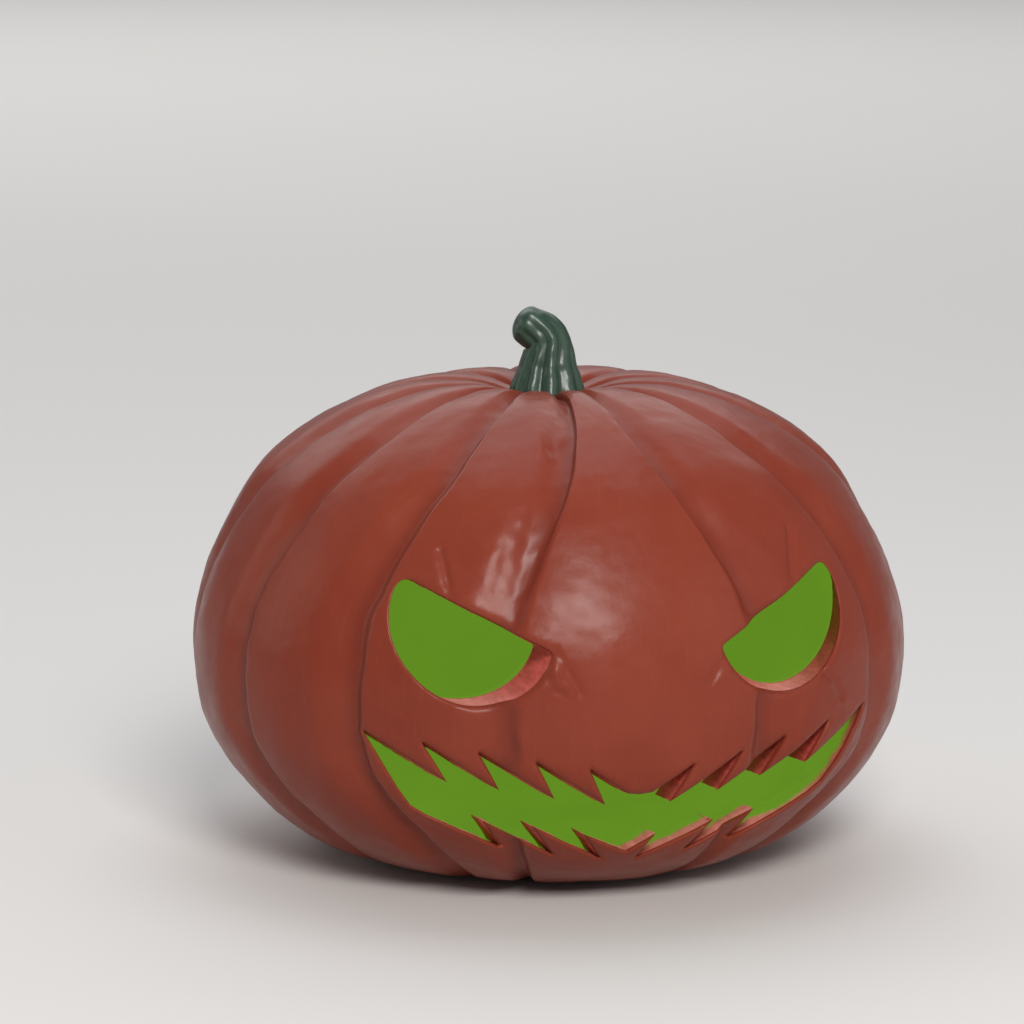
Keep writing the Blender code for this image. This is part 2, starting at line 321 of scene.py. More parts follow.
# Small folds of the skin: grooves and ridges along a path of (across, height) in mm on the face.
# Each is (depth, width, path), and a negative depth is a ridge.
FOLDS = (
    (0.90, 1.4, ((-71.8, 147.5), (-71.2, 140.0), (-70.4, 131.0))),
    (-0.65, 2.9, ((-75.0, 143.0), (-75.0, 137.5))),
    (0.22, 2.0, ((-34.8, 166.0), (-40.6, 151.0), (-47.4, 132.0))),
    (0.22, 2.0, ((-41.4, 166.0), (-47.6, 151.0), (-54.2, 133.0))),
    (0.75, 1.8, ((-33.2, 111.5), (-29.4, 103.5), (-25.0, 95.0))),
    (-0.60, 2.6, ((-34.4, 104.0), (-32.9, 99.5), (-30.0, 96.8))),
    (0.45, 1.6, ((-37.0, 102.0), (-34.8, 96.4), (-30.0, 93.4))),
    (1.10, 1.6, ((71.6, 150.0), (70.6, 142.0), (69.6, 132.0))),
    (-0.65, 3.1, ((75.6, 147.5), (79.0, 141.0), (80.5, 137.0))),
    (0.75, 2.0, ((36.0, 107.0), (31.5, 101.5), (27.6, 95.6))),
    (-0.50, 2.6, ((33.0, 98.8), (29.6, 95.2))),
    (0.75, 1.6, ((80.5, 94.6), (86.9, 89.9), (91.3, 82.2))),
    (-0.45, 2.3, ((89.6, 80.0), (93.6, 79.4))),
    (0.40, 1.7, ((-88.9, 84.2), (-86.0, 87.6))),
    (-0.40, 2.3, ((-91.0, 81.8), (-89.6, 82.6))),
    (0.65, 2.1, ((-14.3, 197.6), (-18.6, 192.0), (-22.3, 184.0))),
    (-0.35, 2.3, ((-25.2, 190.0), (-26.4, 184.0))),
)


def fold_depth(points):
    """The folds' depth in mm at points on the front of the body."""
    depth = np.zeros(len(points))
    across, height = points[:, 0], points[:, 2]
    front = points[:, 1] < -40.0
    for deep, width, path in FOLDS:
        nearest = np.full(len(points), 1e3)
        for start, end in zip(path, path[1:]):
            step = np.subtract(end, start)
            share = (across - start[0]) * step[0] + (height - start[1]) * step[1]
            share = np.clip(share / (step @ step), 0.0, 1.0)
            gap = np.hypot(across - start[0] - share * step[0], height - start[1] - share * step[1])
            nearest = np.minimum(nearest, gap)
        depth += np.where(front, deep * np.exp(-((nearest / width) ** 2)), 0.0)
    return depth


def fold_points():
    """Points on the skin along and across each fold, close enough together to draw its form."""
    found = []
    for _, width, path in FOLDS:
        line, _ = through([(*place, 0.0) for place in path], 0.9)
        ahead = unit(np.gradient(line, axis=0))
        aside = np.stack([-ahead[:, 1], ahead[:, 0]], axis=1)
        for share in (-2.2, -1.5, -1.0, -0.5, 0.0, 0.5, 1.0, 1.5, 2.2):
            found.append(line[:, :2] + aside * share * width)
    found = np.vstack(found)
    cells = np.round(found / 0.4).astype(int)
    found = found[np.sort(np.unique(cells, axis=0, return_index=True)[1])]
    return found[np.abs(found[:, 0]) < 0.93 * BODY.radius_at(found[:, 1])]


def eye_outline():
    """Round from the brow's end at the nose, below the eye, to its outer end."""
    half = math.acos(BROW_OFFSET / EYE_RADIUS)
    start = BROW_SLOPE + math.pi / 2 + half
    angles = start + np.linspace(0.0, 2 * math.pi - 2 * half, EYE_STEPS + 1)
    arc = np.array(EYE_CENTRE) + EYE_RADIUS * np.stack([np.cos(angles), np.sin(angles)], axis=1)
    brow = unit(arc[0] - arc[-1])
    ease = np.linspace(0.0, 1.0, 6)[:, None]
    ends = []
    for before, corner, after in (
        (arc[0] - brow * EYE_INNER_ROUND, arc[0], arc[1]),
        (arc[-4], arc[-1], arc[-1] + brow * EYE_OUTER_ROUND),
    ):
        ends.append((1 - ease) ** 2 * before + 2 * ease * (1 - ease) * corner + ease**2 * after)
    return [tuple(place) for place in np.vstack([ends[0], arc[2:-4], ends[1]])]


def mouth_outline():
    """The whole mouth, turning left from the middle of the lower lip."""
    upper = []
    for tooth in reversed(range(UPPER_TEETH)):
        upper.append(tuple(a + tooth * b for a, b in zip(UPPER_TIP, UPPER_TIP_STEP)))
        upper.append(tuple(a + tooth * b for a, b in zip(UPPER_NOTCH, UPPER_NOTCH_STEP)))
    right = [*LOWER_TEETH_RIGHT, *LOWER_CHEEK, MOUTH_CORNER, *upper, UPPER_MIDDLE[1]]
    left = [*LOWER_TEETH_LEFT, *LOWER_CHEEK, MOUTH_CORNER, *upper, UPPER_MIDDLE[1]]
    whole = [LOWER_MIDDLE, *right, UPPER_MIDDLE[0]] + [(-across, height) for across, height in reversed(left)]
    return [(across + MOUTH_SHIFT, height) for across, height in whole]


def stepped(outline, step=CUT_STEP):
    """The closed outline with points at most a step apart, its corners kept."""
    points = []
    for start, end in zip(outline, outline[1:] + outline[:1]):
        start, end = np.array(start), np.array(end)
        count = max(1, math.ceil(np.linalg.norm(end - start) / step))
        points += [start + (end - start) * i / count for i in range(count)]
    return np.array(points)


def on_body(face):
    """Points and normals of the plain body at (across, height) places on the face."""
    radius = BODY.radius_at(face[:, 1])
    azimuth = np.arcsin(face[:, 0] / radius)
    return BODY.places(azimuth, BODY.along_at(face[:, 1]))


def flat_places(side, points):
    """(column in degrees, distance along the side) of points on the front of a side's wall."""
    column = np.degrees(np.arctan2(points[:, 0], -points[:, 1]))
    if side is BODY:
        column = column_of(column, points[:, 2])
    return np.stack([column, side.along_at(points[:, 2])], axis=1)


def full_places(side, flat):
    """Points and outward normals of flat places."""
    azimuth = flat[:, 0]
    if side is BODY:
        azimuth = leaned(azimuth, side.read(flat[:, 1])[1])
    return side.places(np.radians(azimuth), flat[:, 1])


def strokes_at(points):
    """The direction in which the face is cut at each point."""
    return unit(np.where(points[:, 2:] < MOUTH_TOP, MOUTH_STROKE, points - EYES_CUT_FROM))


def distance_to(points, loops):
    """The distance from each point to the nearest of the closed loops."""
    starts = np.vstack(loops)
    steps = np.vstack([np.roll(loop, -1, axis=0) - loop for loop in loops])
    squares = (steps**2).sum(axis=1)
    found = []
    for part in np.array_split(points, max(1, len(points) // 3000)):
        offset = part[:, None, :] - starts[None, :, :]
        share = np.clip((offset * steps).sum(axis=2) / squares, 0.0, 1.0)
        gaps = np.linalg.norm(offset - share[:, :, None] * steps, axis=2)
        found.append(gaps.min(axis=1))
    return np.concatenate(found)


def rings_around(loops, normals):
    """Points on the skin along each loop at the rings' distances from it, where no other cut is nearer."""
    found = []
    for share in RINGS:
        reach = LIP * share
        ring = []
        for loop, normal in zip(loops, normals):
            step = np.roll(loop, -1, axis=0) - loop
            ahead = unit(step)
            behind = np.roll(ahead, 1, axis=0)
            outward = unit(np.cross(ahead, normal))
            before = unit(np.cross(behind, normal))
            turning = np.einsum("ij,ij->i", np.cross(behind, ahead), normal)
            ring.append(loop + step / 2 + outward * reach)
            for i in np.nonzero(turning > 0.3)[0]:
                for blend in np.linspace(0.0, 1.0, 6):
                    heading = unit(before[i] * (1.0 - blend) + outward[i] * blend)
                    ring.append((loop[i] + heading * reach)[None, :])
        ring = np.vstack(ring)
        found.append(ring[distance_to(ring, loops) > 0.93 * reach])
    found = np.vstack(found)
    cells = np.round(found / 0.3).astype(int)
    return found[np.sort(np.unique(cells, axis=0, return_index=True)[1])]


def inside(loop, places):
    """Which places lie inside a closed loop, both as 2-D points."""
    x, y = places[:, 0], places[:, 1]
    found = np.zeros(len(places), bool)
    for (ax, ay), (bx, by) in zip(loop, np.roll(loop, -1, axis=0)):
        if ay == by:
            continue
        crosses = (ay > y) != (by > y)
        found ^= crosses & (x < (bx - ax) * (y - ay) / (by - ay) + ax)
    return found


def pierced(columns, rows, loops, extra, window, free, scale):
    """A turned band with holes: its flat places, faces and each loop's vertex numbers.

    Columns are degrees round the whole turn, rows are distances along the side, and loops and extra are flat
    places. Inside the window (first and last column and row number) the grid is met by the loops; free says
    which of the places given to it may stay.
    """
    first_column, last_column, first_row, last_row = window
    grid = np.full((len(rows), len(columns)), -1)
    inner = np.zeros(grid.shape, bool)
    inner[first_row + 1 : last_row, first_column + 1 : last_column] = True
    grid_places = np.stack(np.meshgrid(columns, rows), axis=-1)
    kept = ~inner
    kept[inner] = free(grid_places[inner])
    grid[kept] = np.arange(kept.sum())
    places = grid_places[kept]
    faces = []
    for row in range(len(rows) - 1):
        for column in range(len(columns)):
            if first_row <= row < last_row and first_column <= column < last_column:
                continue
            beside = (column + 1) % len(columns)
            faces.append((grid[row, column], grid[row, beside], grid[row + 1, beside], grid[row + 1, column]))
    rim = [(first_row, c) for c in range(first_column, last_column)]
    rim += [(r, last_column) for r in range(first_row, last_row)]
    rim += [(last_row, c) for c in range(last_column, first_column, -1)]
    rim += [(r, first_column) for r in range(last_row, first_row, -1)]
    rim_ids = [grid[place] for place in rim]
    inner_ids = grid[inner & kept]
    ids = list(rim_ids) + list(inner_ids)
    count = len(places)
    edges = [(i, (i + 1) % len(rim_ids)) for i in range(len(rim_ids))]
    loop_ids = []
    for loop in loops:
        start = len(ids)
        loop_ids.append(np.arange(count, count + len(loop)))
        ids += range(count, count + len(loop))
        edges += [(start + i, start + (i + 1) % len(loop)) for i in range(len(loop))]
        count += len(loop)
    ids += range(count, count + len(extra))
    places = np.vstack([places, *loops, extra])
    flat = places[ids] * (scale, 1.0)
    found = delaunay_2d_cdt([Vector(p) for p in flat], edges, [], 0, 1e-6, True)
    points, _, triangles, origins = found[0], found[1], found[2], found[3]
    if len(points) != len(ids):
        raise ValueError(f"the cuts' mesh has {len(points)} points for {len(ids)} given")
    own = [ids[origin[0]] for origin in origins]
    triangles = np.array([[own[i] for i in triangle] for triangle in triangles])
    centres = places[triangles].mean(axis=1)
    hollow = np.zeros(len(triangles), bool)
    for loop in loops:
        hollow |= inside(loop, centres)
    faces += [tuple(triangle) for triangle in triangles[~hollow]]
    # The two ends of the side are closed by fans round a vertex of their own.
    ends = (len(places), len(places) + 1)
    for column in range(len(columns)):
        beside = (column + 1) % len(columns)
        faces.append((ends[0], grid[0, beside], grid[0, column]))
        faces.append((ends[1], grid[-1, column], grid[-1, beside]))
    return np.vstack([places, [(0.0, rows[0]), (0.0, rows[-1])]]), faces, loop_ids


def window_of(columns, rows, loops, margin):
    """First and last column and row numbers round all loops with a margin in columns and rows."""
    places = np.vstack(loops)
    low, high = places.min(axis=0), places.max(axis=0)
    c = np.searchsorted(columns, (low[0], high[0]))
    r = np.searchsorted(rows, (low[1], high[1]))
    return c[0] - margin, c[1] + margin, r[0] - margin, r[1] + margin


def make_mesh(name, points, faces, materials, slots=None, values=None):
    """An object from points in mm, with a material number for each face and values for each vertex."""
    mesh = bpy.data.meshes.new(name)
    mesh.from_pydata((np.asarray(points) * MM).tolist(), [], [tuple(map(int, f)) for f in faces])
    for material in materials:
        mesh.materials.append(material)
    if slots is not None:
        mesh.polygons.foreach_set("material_index", np.asarray(slots, np.int32))
    for key, value in (values or {}).items():
        value = np.asarray(value, np.float32)
        kind = "FLOAT" if value.ndim == 1 else "FLOAT_VECTOR"
        attribute = mesh.attributes.new(key, kind, "POINT")
        attribute.data.foreach_set("value" if value.ndim == 1 else "vector", value.ravel())
    mesh.update()
    mesh.shade_smooth()
    made = bpy.data.objects.new(name, mesh)
    bpy.context.scene.collection.objects.link(made)
    return made


def skin_relief(flat, points, normals, loops):
    """The skin's points with creases, folds and worn lips, and values for its material."""
    height = points[:, 2]
    creases, floor = crease_depth(flat[:, 0], flat[:, 1], points)
    uneven = 0.22 * wander(points, 34.0, 5) + 0.08 * wander(points, 9.0, 6)
    depth = creases + fold_depth(points) + SKIN_INSET + uneven
    gap = np.full(len(points), 50.0)
    near = (np.abs(flat[:, 0]) < 75.0) & (height > 12.0) & (height < 160.0)
    gap[near] = distance_to(points[near], loops)
    heading = strokes_at(points)
    facing = np.clip(-np.einsum("ij,ij->i", heading, normals), 0.3, 1.0)
    depth += -0.25 * np.exp(-(((gap - 3.2) / 1.6) ** 2))
    along_cut = (1.0 - smooth(gap / 5.0))[:, None]
    sunk = -normals * depth[:, None] * (1.0 - along_cut) + heading * (depth / facing)[:, None] * along_cut
    inset = np.clip(1.0 - gap / LIP, 0.0, 1.0)
    worn = LIP * (1.0 - np.sqrt(1.0 - inset**2))
    made = points + sunk + heading * worn[:, None]
    made[:, 2] = np.maximum(made[:, 2], 0.0)
    return made, floor, np.exp(-gap / 2.5)


def band_with_cuts(side, columns, row_step, loops, extra, clear):
    """Flat places, faces and loop numbers of a side pierced by loops of points on it."""
    rows = np.linspace(0.0, side.length, round(side.length / row_step) + 1)
    flat_loops = [flat_places(side, loop) for loop in loops]

    def free(places):
        points = full_places(side, places)[0]
        kept = distance_to(points, loops) > clear
        for loop in flat_loops:
            kept &= ~inside(loop, places)
        return kept

    window = window_of(columns, rows, flat_loops + ([extra] if len(extra) else []), 3)
    scale = math.radians(1.0) * side.radius.max()
    return pierced(columns, rows, flat_loops, extra, window, free, scale)


def below_lip(points):
    """True for points that belong to the mouth's lower lip."""
    return points[:, 2] < np.interp(np.abs(points[:, 0]), *zip(*LOWER_LIP_LINE))


def walls_between(outer, inner, outer_ids, inner_ids, shares, start, rough):
    """The walls of one cut from its outer to its inner edge: new points, faces and each new point's values.

    The values are its share of the way in, how much the wall faces up, which paints top light on the flesh,
    and how green the glow has made it.
    """
    count = len(outer_ids)
    first, last = outer[outer_ids], inner
    stroke = last - first
    length = np.linalg.norm(stroke, axis=1, keepdims=True)
    around = unit(np.roll(first, -1, axis=0) - np.roll(first, 1, axis=0))
    across = unit(np.cross(stroke / length, around))
    upward = np.clip(-across[:, 2], 0.0, 1.0)
    lower = below_lip(first)
    flat_enough = smooth((upward - GLOW_UPWARD) / GLOW_UPWARD_BLEND)
    lit = lower * np.where(np.abs(first[:, 0]) > CHEEK_FROM, 1.0, flat_enough)
    # Painted top light on the flesh: above the lower lip it keeps sharply to the walls that face up.
    upward = np.where(lower, upward, upward**TOP_LIGHT_POWER)
    starts = np.interp(np.abs(first[:, 0]), CHEEK_BLEND, (GLOW_FROM, CHEEK_GLOW_FROM))
    rings = [np.asarray(outer_ids)]
    points, values = [], []
    for number, share in enumerate(shares):
        row = first + stroke * share
        hold = smooth(share * length / 3.0) * smooth((1.0 - share) * length / 2.5)
        lengthwise = row - (stroke / length) * np.einsum("ij,ij->i", row, stroke / length)[:, None] * 0.9
        uneven = wander(lengthwise, 13.0, 21) + 0.4 * wander(row, 4.0, 22)
        row = row + across * hold * rough * uneven[:, None]
        rings.append(start + number * count + np.arange(count))
        points.append(row)
        glow = lit * smooth((share + 0.04 * wander(first, 12.0, 41) - starts) / GLOW_BLEND)
        values.append(np.stack([np.full(count, share), upward, glow], axis=1))
    rings.append(np.asarray(inner_ids))
    faces = []
    for high, low in zip(rings, rings[1:]):
        for i in range(count):
            j = (i + 1) % count
            faces.append((high[j], high[i], low[i], low[j]))
    return np.vstack(points), faces, np.vstack(values)


def pierced_shell(outer_side, inner_side, outer_band, inner_band, relief, shares, rough, inner_loops):
    """A closed shell of two bands joined by the walls of the cuts.

    It gives points, faces, a material number for each face (0 outside, 1 on the walls, 2 inside), and values.
    """
    flat, faces, loop_ids = outer_band
    points, normals = full_places(outer_side, flat)
    points, floor, lip = relief(flat, points, normals)
    inner_flat, inner_faces, inner_ids = inner_band
    inner_points = full_places(inner_side, inner_flat)[0]
    offset = len(points)
    all_points = [points, inner_points]
    all_faces = list(faces)
    slots = [0] * len(faces)
    all_faces += [tuple(int(i) + offset for i in reversed(face)) for face in inner_faces]
    slots += [2] * len(inner_faces)
    inside_lip = below_lip(inner_points)
    inner_values = np.stack([np.ones(len(inner_points)), 0.0 * inside_lip, inside_lip], axis=1)
    walls = [np.zeros((len(points), 3)), inner_values]
    start = offset + len(inner_points)
    for ids, own, loop in zip(loop_ids, inner_ids, inner_loops):
        row_points, row_faces, row_values = walls_between(
            points, loop, ids, own + offset, shares, start, rough
        )
        all_points.append(row_points)
        walls.append(row_values)
        all_faces += row_faces
        slots += [1] * len(row_faces)
        start += len(row_points)
    total = start
    values = dict(zip(("cut", "upward", "glow"), np.vstack(walls).T))
    # The share of each crease's floor is kept for the painted shade in the rind's colour.
    for key, value in (("crease", floor), ("lip", lip)):
        values[key] = np.zeros(total)
        values[key][: len(value)] = value
    turn = np.radians(flat[:, 0])
    values["rib"] = np.vstack(all_points) * MM
    sideways = (0.15 * np.sin(turn), -0.15 * np.cos(turn))
    values["rib"][: len(flat)] = np.stack([*sideways, flat[:, 1] * MM], axis=1)
    return np.vstack(all_points), all_faces, slots, values


def build_rind(materials):
    loops, loop_normals = zip(*[on_body(stepped(outline)) for outline in CUTS])
    rings = rings_around(loops, loop_normals)
    ring_places = flat_places(BODY, rings)
    flat_loops = [flat_places(BODY, loop) for loop in loops]
    clear = LIP * RINGS[-1] + 0.7
    folds = on_body(fold_points())[0]
    folds = flat_places(BODY, folds[distance_to(folds, loops) > clear])
    extra = np.vstack([ring_places, folds])
    for loop in flat_loops:
        extra = extra[~inside(loop, extra)]
    outer = band_with_cuts(BODY, body_columns(), BODY_ROW_STEP, loops, extra, clear)
    cavity = Side(CAVITY_SIDE)
    hits = [cavity.met_by(loop, strokes_at(loop))[0] for loop in loops]
    columns = np.arange(CAVITY_COLUMNS) * 360.0 / CAVITY_COLUMNS - 180.0
    inner = band_with_cuts(cavity, columns, CAVITY_ROW_STEP, hits, np.empty((0, 2)), 2.0)

    def relief(flat, points, normals):
        return skin_relief(flat, points, normals, loops)

    shares = (np.arange(1, 15) / 15) ** 1.25
    points, faces, slots, values = pierced_shell(BODY, cavity, outer, inner, relief, shares, 0.3, hits)
    made = make_mesh("rind", points, faces, materials, np.minimum(slots, 1), values)
    made.data.set_sharp_from_angle(angle=math.radians(62.0))
    return made


def build_lining(materials):
    face_loops = [on_body(stepped(outline, 1.8))[0] for outline in CUTS]
    sides = [Side(CAVITY_SIDE, LINING_GAP), Side(CAVITY_SIDE, LINING_GAP + LINING_THICKNESS)]
    deepest = [sides[1].met_by(loop, strokes_at(loop))[1] for loop in face_loops]
    face_loops = [loop[met] for loop, met in zip(face_loops, deepest)]
    hits = [[side.met_by(loop, strokes_at(loop))[0] for loop in face_loops] for side in sides]
    columns = np.arange(CAVITY_COLUMNS) * 360.0 / CAVITY_COLUMNS - 180.0
    bands = []
    for side, loops in zip(sides, hits):
        bands.append(band_with_cuts(side, columns, CAVITY_ROW_STEP, loops, np.empty((0, 2)), 2.0))

    def relief(flat, points, normals):
        return points, np.zeros(len(points)), np.zeros(len(points))

    points, faces, _, values = pierced_shell(*sides, *bands, relief, (0.33, 0.67), 0.0, hits[1])
    made = make_mesh("lining", points, faces, materials, None, {"cut": values["cut"]})
    made.data.set_sharp_from_angle(angle=math.radians(50.0))
    return made


def build_stem(materials):
    side = np.array((math.cos(STEM_TURN), math.sin(STEM_TURN), 0.0))
    up = np.array((0.0, 0.0, 1.0))
    across = np.cross(up, side)
    line, reached = through(STEM_LINE, 0.4)
    line = eased(line, 4)
    centres = line[:, :1] * side + line[:, 1:2] * up
    along = unit(np.gradient(centres, axis=0))
    radius = line[:, 2]
    bend = np.linspace(0.0, math.pi / 2, 12)[1:-1]
    centres = np.vstack([centres, centres[-1] + along[-1] * STEM_DOME * np.sin(bend)[:, None]])
    along = np.vstack([along, np.repeat(along[-1:], len(bend), axis=0)])
    radius = np.append(radius, radius[-1] * np.cos(bend))
    place = np.concatenate([reached, reached[-1] + STEM_DOME * np.sin(bend)]) / (reached[-1] + STEM_DOME)
    columns = STEM_FLUTES * 16
    turn = 2 * math.pi * np.arange(columns) / columns
    twist = 0.5 * smooth((place - 0.3) / 0.7)
    wave = STEM_FLUTES * (turn[None, :] + twist[:, None])
    ridge = 0.5 + 0.5 * np.cos(wave + 0.8 * np.sin(turn * 2.0 + 1.0)[None, :])
    depth = 0.14 - 0.06 * smooth((place - 0.3) / 0.3) - 0.05 * smooth((place - 0.6) / 0.3)
    lobes = 0.055 * smooth((place - 0.55) / 0.3)[:, None] * np.cos(3.0 * turn + 0.6)[None, :]
    inward = np.cross(across, along)
    reach = radius[:, None] * (1.07 + lobes - depth[:, None] * (1.0 - ridge**0.8))
    outward = -inward[:, None, :] * np.cos(turn)[None, :, None]
    aside = across[None, None, :] * np.sin(turn)[None, :, None]
    points = centres[:, None, :] + reach[..., None] * (outward + aside)
    rows, count = len(centres), columns
    points = points.reshape(-1, 3)
    away = unit(points - np.repeat(centres, columns, axis=0))
    points = points + away * 0.18 * wander(points, 7.0, 31)[:, None]
    faces = []
    for row in range(rows - 1):
        for i in range(count):
            j = (i + 1) % count
            faces.append((row * count + i, row * count + j, (row + 1) * count + j, (row + 1) * count + i))
    ends = (len(points), len(points) + 1)
    for i in range(count):
        j = (i + 1) % count
        faces.append((ends[0], j, i))
        faces.append((ends[1], (rows - 1) * count + i, (rows - 1) * count + j))
    tip = centres[-1] + along[-1] * 0.05
    points = np.vstack([points, centres[:1], tip[None, :]]) + (0.0, 0.0, STEM_SEAT)
    # The ridge value sets where the stem's material paints shade into the grooves.
    ridge_value = np.append(ridge.ravel(), (1.0, 1.0))
    return make_mesh("stalk", points, faces, materials, None, {"ridge": ridge_value})


def add(tree, kind, inputs=None, **settings):
    """A shader node with its settings, and its inputs set to values or linked to sockets."""
    made = tree.nodes.new(kind)
    for key, value in settings.items():
        setattr(made, key, value)
    for key, value in (inputs or {}).items():
        if isinstance(value, bpy.types.NodeSocket):
            tree.links.new(value, made.inputs[key])
        else:
            made.inputs[key].default_value = value
    return made


def new_material(name):
    material = bpy.data.materials.new(name)
    material.use_nodes = True
    return material, material.node_tree, material.node_tree.nodes["Principled BSDF"]


def noise(tree, vector, scale, detail=3.0, roughness=0.55):
    inputs = {"Vector": vector, "Scale": scale, "Detail": detail, "Roughness": roughness}
    return add(tree, "ShaderNodeTexNoise", inputs).outputs["Fac"]


def ramp(tree, value, low, high, to_low=0.0, to_high=1.0):
    inputs = {"Value": value, "From Min": low, "From Max": high, "To Min": to_low, "To Max": to_high}
    return add(tree, "ShaderNodeMapRange", inputs).outputs["Result"]


def mixed(tree, share, first, second, blend="MIX"):
    """A mix of two colours, each a linear (r, g, b) or a socket."""
    made = add(tree, "ShaderNodeMix", None, data_type="RGBA", blend_type=blend)
    for socket, value in zip((made.inputs[0], made.inputs[6], made.inputs[7]), (share, first, second)):
        if isinstance(value, bpy.types.NodeSocket):
            tree.links.new(value, socket)
        else:
            socket.default_value = (*value, 1.0) if isinstance(value, tuple) else value
    return made.outputs[2]


def maths(tree, operation, *values):
    made = add(tree, "ShaderNodeMath", None, operation=operation)
    for socket, value in zip(made.inputs, values):
        if isinstance(value, bpy.types.NodeSocket):
            tree.links.new(value, socket)
        else:
            socket.default_value = value
    return made.outputs[0]


def attribute(tree, name, output="Fac"):
    return add(tree, "ShaderNodeAttribute", None, attribute_name=name).outputs[output]


def scaled(tree, vector, scale):
    return add(tree, "ShaderNodeMapping", {"Vector": vector, "Scale": scale}).outputs["Vector"]


def bumped(tree, surface, layers):
    """Bump from several (height socket, strength, distance in metres) layers."""
    normal = None
    for height, strength, distance in layers:
        inputs = {"Height": height, "Strength": strength, "Distance": distance}
        if normal is not None:
            inputs["Normal"] = normal
        normal = add(tree, "ShaderNodeBump", inputs).outputs["Normal"]
    tree.links.new(normal, surface.inputs["Normal"])


RIND_DEEP = (0.186, 0.0305, 0.0160)
RIND_LIGHT = (0.216, 0.0390, 0.0200)
RIND_STREAK = (0.245, 0.0520, 0.0280)
# Painted shade for the floors of the creases.
RIND_CREASE_SHADE = (0.120, 0.021, 0.013)
FLESH = (0.640, 0.125, 0.105)
# Flesh as lit from above: painted top light on the walls that face up.
FLESH_TOP_LIT = (0.860, 0.340, 0.310)
GREEN = (0.117, 0.254, 0.016)
GREEN_DARK = (0.020, 0.038, 0.005)
# The stem's grooves take painted shade, its ridges the lighter green.
STEM_GROOVE_SHADE = (0.014, 0.034, 0.021)
STEM_LIGHT = (0.036, 0.074, 0.050)


def rind_material():
    material, tree, surface = new_material("rind")
    place = add(tree, "ShaderNodeTexCoord").outputs["Object"]
    rib = attribute(tree, "rib", "Vector")
    crease = attribute(tree, "crease")
    mottle = ramp(tree, noise(tree, place, 22.0, 4.0), 0.3, 0.7)
    colour = mixed(tree, mottle, RIND_DEEP, RIND_LIGHT)
    streak = noise(tree, scaled(tree, rib, (1.0, 1.0, 0.12)), 420.0, 3.0)
    colour = mixed(tree, ramp(tree, streak, 0.55, 0.80, 0.0, 0.30), colour, RIND_STREAK)
    cells = add(tree, "ShaderNodeTexVoronoi", {"Vector": place, "Scale": 520.0}, feature="F1")
    pores = cells.outputs["Distance"]
    colour = mixed(tree, ramp(tree, pores, 0.08, 0.20, 0.16, 0.0), colour, RIND_STREAK)
    # The crease floors are darkened: painted shade.
    colour = mixed(tree, maths(tree, "MULTIPLY", crease, 0.40), colour, RIND_CREASE_SHADE)
    tree.links.new(colour, surface.inputs["Base Color"])
    wear = noise(tree, place, 90.0, 3.0)
    tree.links.new(ramp(tree, wear, 0.3, 0.7, 0.28, 0.40), surface.inputs["Roughness"])
    surface.inputs["Specular IOR Level"].default_value = 0.14
    surface.inputs["Coat Weight"].default_value = 0.04
    surface.inputs["Coat Roughness"].default_value = 0.16
    fine = noise(tree, place, 700.0, 2.0)
    waves = noise(tree, place, 130.0, 2.0)
    bumped(
        tree,
        surface,
        ((waves, 0.30, 0.0005), (streak, 0.15, 0.0002), (fine, 0.20, 0.0001), (pores, 0.06, 0.00015)),
    )
    return material


def flesh_material():
    material, tree, surface = new_material("flesh")
    place = add(tree, "ShaderNodeTexCoord").outputs["Object"]
    cut = attribute(tree, "cut")
    glow = attribute(tree, "glow")
    fibres = ramp(tree, noise(tree, scaled(tree, place, (1.0, 0.12, 1.0)), 420.0, 3.0), 0.3, 0.7)
    damp = noise(tree, place, 160.0, 2.0)
    # Walls that face up get a paler flesh: painted top light.
    lit_from_above = maths(tree, "POWER", attribute(tree, "upward"), 1.6)
    painted_top_light = maths(tree, "MULTIPLY", lit_from_above, ramp(tree, fibres, 0.0, 1.0, 0.60, 1.0))
    colour = mixed(tree, ramp(tree, fibres, 0.0, 1.0, 0.5, 1.0), RIND_DEEP, FLESH)
    colour = mixed(tree, painted_top_light, colour, FLESH_TOP_LIT)
    colour = mixed(tree, ramp(tree, cut, 0.0, 0.07, 1.0, 0.0), colour, RIND_LIGHT)
    colour = mixed(tree, glow, colour, GREEN_DARK)
    tree.links.new(colour, surface.inputs["Base Color"])
    veil = ramp(tree, damp, 0.3, 0.7)
    green = mixed(tree, veil, tuple(0.97 * c for c in GREEN), tuple(1.06 * c for c in GREEN))
    tree.links.new(mixed(tree, glow, (0.0, 0.0, 0.0), green), surface.inputs["Emission Color"])
    surface.inputs["Emission Strength"].default_value = 0.95
    surface.inputs["Specular IOR Level"].default_value = 0.06
    tree.links.new(ramp(tree, damp, 0.3, 0.7, 0.55, 0.70), surface.inputs["Roughness"])
    grain = noise(tree, place, 900.0, 2.0)
    bumped(tree, surface, ((fibres, 0.30, 0.0003), (grain, 0.20, 0.00012)))
    return material


def lining_material():
    material, tree, surface = new_material("green_glow")
    place = add(tree, "ShaderNodeTexCoord").outputs["Object"]
    veil = ramp(tree, noise(tree, place, 18.0, 3.0), 0.3, 0.7)
    colour = mixed(tree, veil, tuple(0.97 * c for c in GREEN), tuple(1.03 * c for c in GREEN))
    dark = mixed(tree, veil, GREEN_DARK, tuple(1.3 * c for c in GREEN_DARK))
    tree.links.new(dark, surface.inputs["Base Color"])
    tree.links.new(colour, surface.inputs["Emission Color"])
    surface.inputs["Emission Strength"].default_value = 0.95
    surface.inputs["Roughness"].default_value = 0.75
    surface.inputs["Specular IOR Level"].default_value = 0.1
    bumped(tree, surface, ((noise(tree, place, 300.0, 2.0), 0.2, 0.0002),))
    return material


